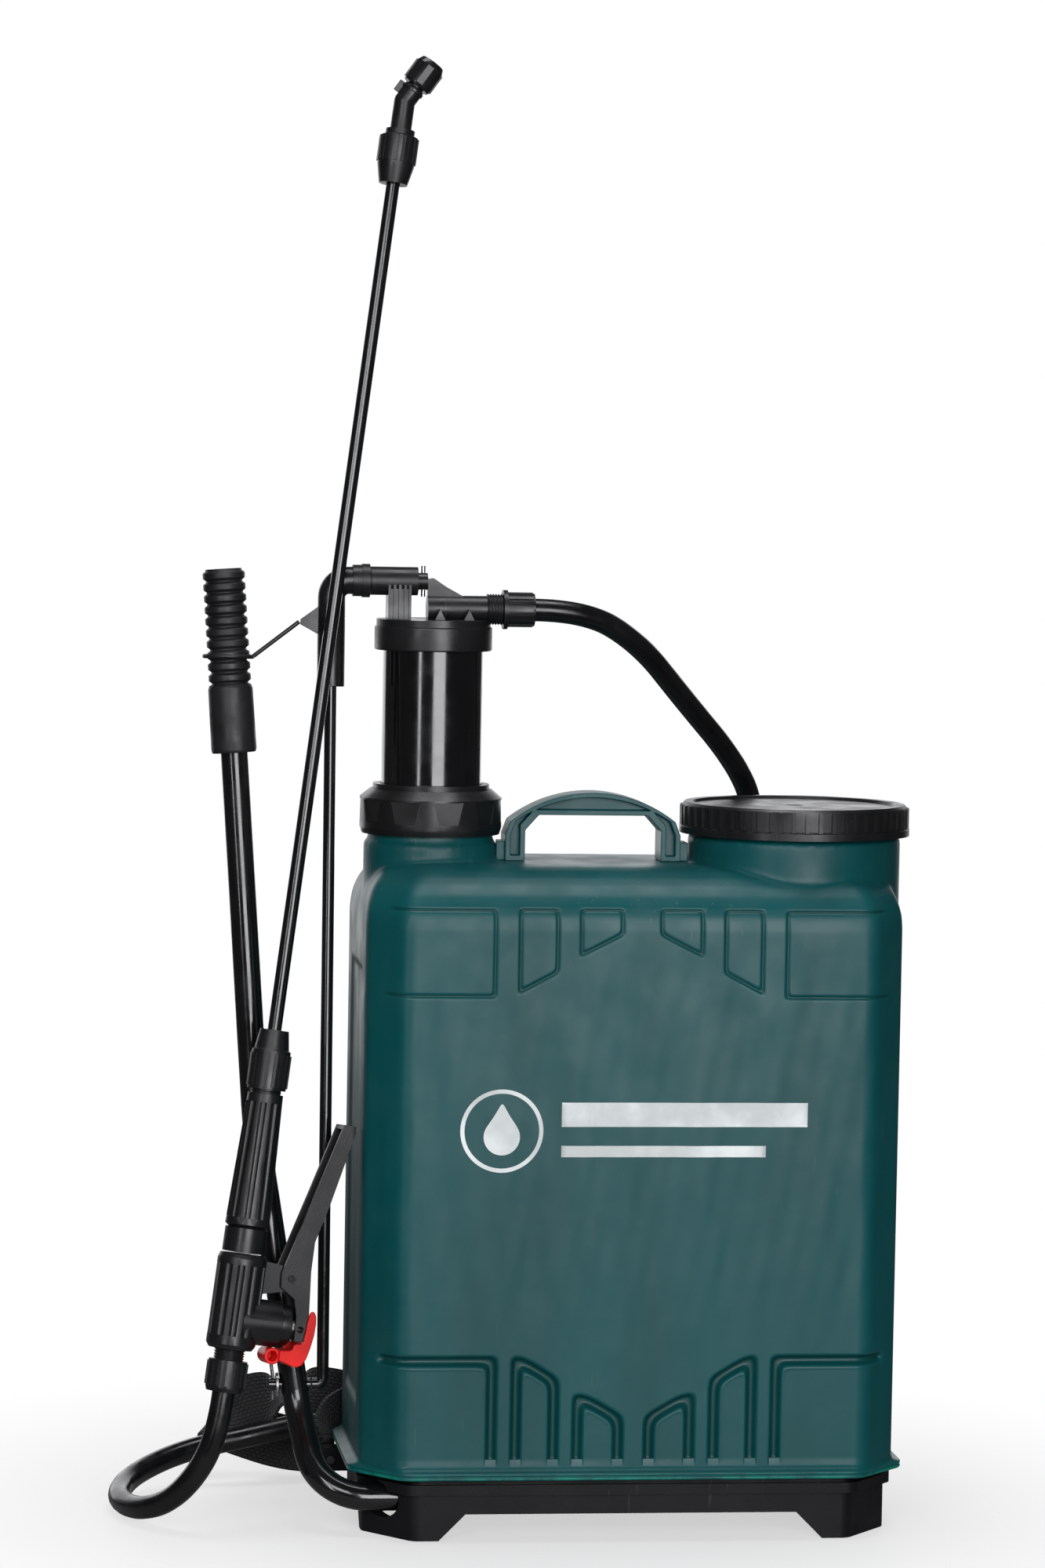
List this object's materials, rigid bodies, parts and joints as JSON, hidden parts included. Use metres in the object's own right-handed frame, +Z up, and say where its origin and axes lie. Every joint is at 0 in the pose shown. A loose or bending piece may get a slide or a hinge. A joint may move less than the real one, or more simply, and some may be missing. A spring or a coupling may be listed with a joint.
{
  "type": "backpack sprayer",
  "caption": "Free-standing knapsack sprayer: moulded tank with screw lid and carry handle, lever-driven pump, hose and trigger lance, worn on the back.",
  "frame": {"origin": "bottom centre of the standing sprayer without its hose, on the floor", "axes": "+Z up; the tank's front faces -Y and the wearer's back goes against its +Y side; the pump lever is on the -X side"},
  "size_m": [0.4684, 0.217, 0.856],
  "materials": {
    "tank_plastic": "semi-matt moulded",
    "base_plastic": "matt moulded",
    "black_plastic": "satin moulded",
    "gloss_black": "polished",
    "painted_steel": "gloss black enamel",
    "zinc": "zinc plated",
    "nylon": "natural",
    "seal_rubber": "matt",
    "grip_rubber": "matt",
    "strap_rubber": "satin",
    "hose": "satin",
    "pad_fabric": "woven cover",
    "webbing": "woven",
    "trigger_plastic": "satin moulded",
    "red_plastic": "satin moulded"
  },
  "bodies": {
    "tank": {"tank_shell": "tank_plastic", "carry_handle": "tank_plastic", "base_skirt": "base_plastic", "base_screws": "zinc", "shaft_bushes": "black_plastic", "pump_cylinder": "nylon", "cylinder_gasket": "seal_rubber", "inlet_valve": "nylon", "inlet_ball": "zinc", "inlet_strainer": "nylon", "pump_nut": "black_plastic", "filler_strainer": "black_plastic", "strap_anchor": "base_plastic", "shoulder_pad_left": "pad_fabric", "shoulder_pad_right": "pad_fabric", "strap_webbing": "webbing", "strap_tails": "webbing", "strap_buckles": "black_plastic", "base_hooks": "zinc", "strap_bundle": "webbing", "hose_upper": "hose", "hose_lower": "hose"},
    "pump": {"air_chamber": "gloss_black", "chamber_collar": "black_plastic", "chamber_head": "black_plastic", "dip_tube": "nylon", "piston": "nylon", "piston_cup": "seal_rubber", "check_ball": "zinc", "outlet_nut": "black_plastic", "outlet_barb": "nylon"},
    "link": {"rocker_elbow": "black_plastic", "rod_sleeve": "black_plastic", "connecting_rod": "painted_steel", "head_clip": "zinc"},
    "lever": {"lever_tube": "painted_steel", "lever_grip": "grip_rubber", "rod_pin": "painted_steel", "rod_washer": "zinc", "rod_cotter": "zinc", "lever_strap": "strap_rubber"},
    "lid_core": {"lid_gasket": "seal_rubber"},
    "lid": {"filler_lid": "black_plastic", "lid_vent": "seal_rubber"},
    "wand": {"hose_nut": "black_plastic", "wand_barb": "black_plastic", "valve_body": "black_plastic", "valve_bonnet": "black_plastic", "wand_grip": "black_plastic", "wand_filter": "nylon", "lance_nut": "black_plastic", "lance_tube": "painted_steel", "nozzle_nut": "black_plastic", "nozzle_elbow": "black_plastic", "swirl_core": "nylon", "trigger_pin": "painted_steel"},
    "nozzle": {"nozzle_cap": "black_plastic"},
    "trigger": {"trigger": "trigger_plastic"},
    "stem": {"valve_stem": "nylon"},
    "lock": {"trigger_lock": "red_plastic"}
  },
  "joints": [
    {"name": "lever_swing", "type": "hinge", "parent": "tank", "child": "lever", "pos_m": [-0.057, -0.08, 0.022], "axis": [-1, 0, 0], "range_deg": [0, 55]},
    {"name": "pump_stroke", "type": "slide", "parent": "tank", "child": "pump", "axis": [0, 0, 1], "range_m": [-0.05834, 0]},
    {"name": "link_tilt", "type": "hinge", "parent": "pump", "child": "link", "pos_m": [-0.096, -0.02, 0.55], "axis": [1, 0, 0], "range_deg": [0, 3.73]},
    {"name": "lid_lift", "type": "slide", "parent": "tank", "child": "lid_core", "axis": [0, 0, 1], "range_m": [0, 0.045]},
    {"name": "lid_turn", "type": "hinge", "parent": "lid_core", "child": "lid", "pos_m": [0.143, -0.026, 0.405], "axis": [0, 0, 1], "continuous": true},
    {"name": "wand_lift", "type": "slide", "parent": "tank", "child": "wand", "axis": [0, -0.9943, 0.1064], "range_m": [0, 0.08]},
    {"name": "nozzle_turn", "type": "hinge", "parent": "wand", "child": "nozzle", "pos_m": [-0.09217, -0.0027, 0.82911], "axis": [0.5873, 0.04, 0.8084], "continuous": true},
    {"name": "trigger_squeeze", "type": "hinge", "parent": "wand", "child": "trigger", "pos_m": [-0.1556, -0.06955, 0.14813], "axis": [0.2073, -0.9753, 0.0764], "range_deg": [0, 14], "stiffness_Nm_per_rad": 0.6, "springref_deg": -14.32},
    {"name": "stem_pull", "type": "slide", "parent": "wand", "child": "stem", "axis": [0.9692, 0.1942, -0.1513], "range_m": [0, 0.0071]},
    {"name": "lock_swing", "type": "hinge", "parent": "trigger", "child": "lock", "pos_m": [-0.15026, -0.07072, 0.11871], "axis": [0.2073, -0.9753, 0.0764], "range_deg": [0, 45]}
  ],
  "couplings": [
    {"joint": "pump_stroke", "follows": "lever_swing", "m_per_rad": -0.060761},
    {"joint": "link_tilt", "follows": "lever_swing", "ratio": 0.067619},
    {"joint": "stem_pull", "follows": "trigger_squeeze", "m_per_rad": 0.0284}
  ]
}
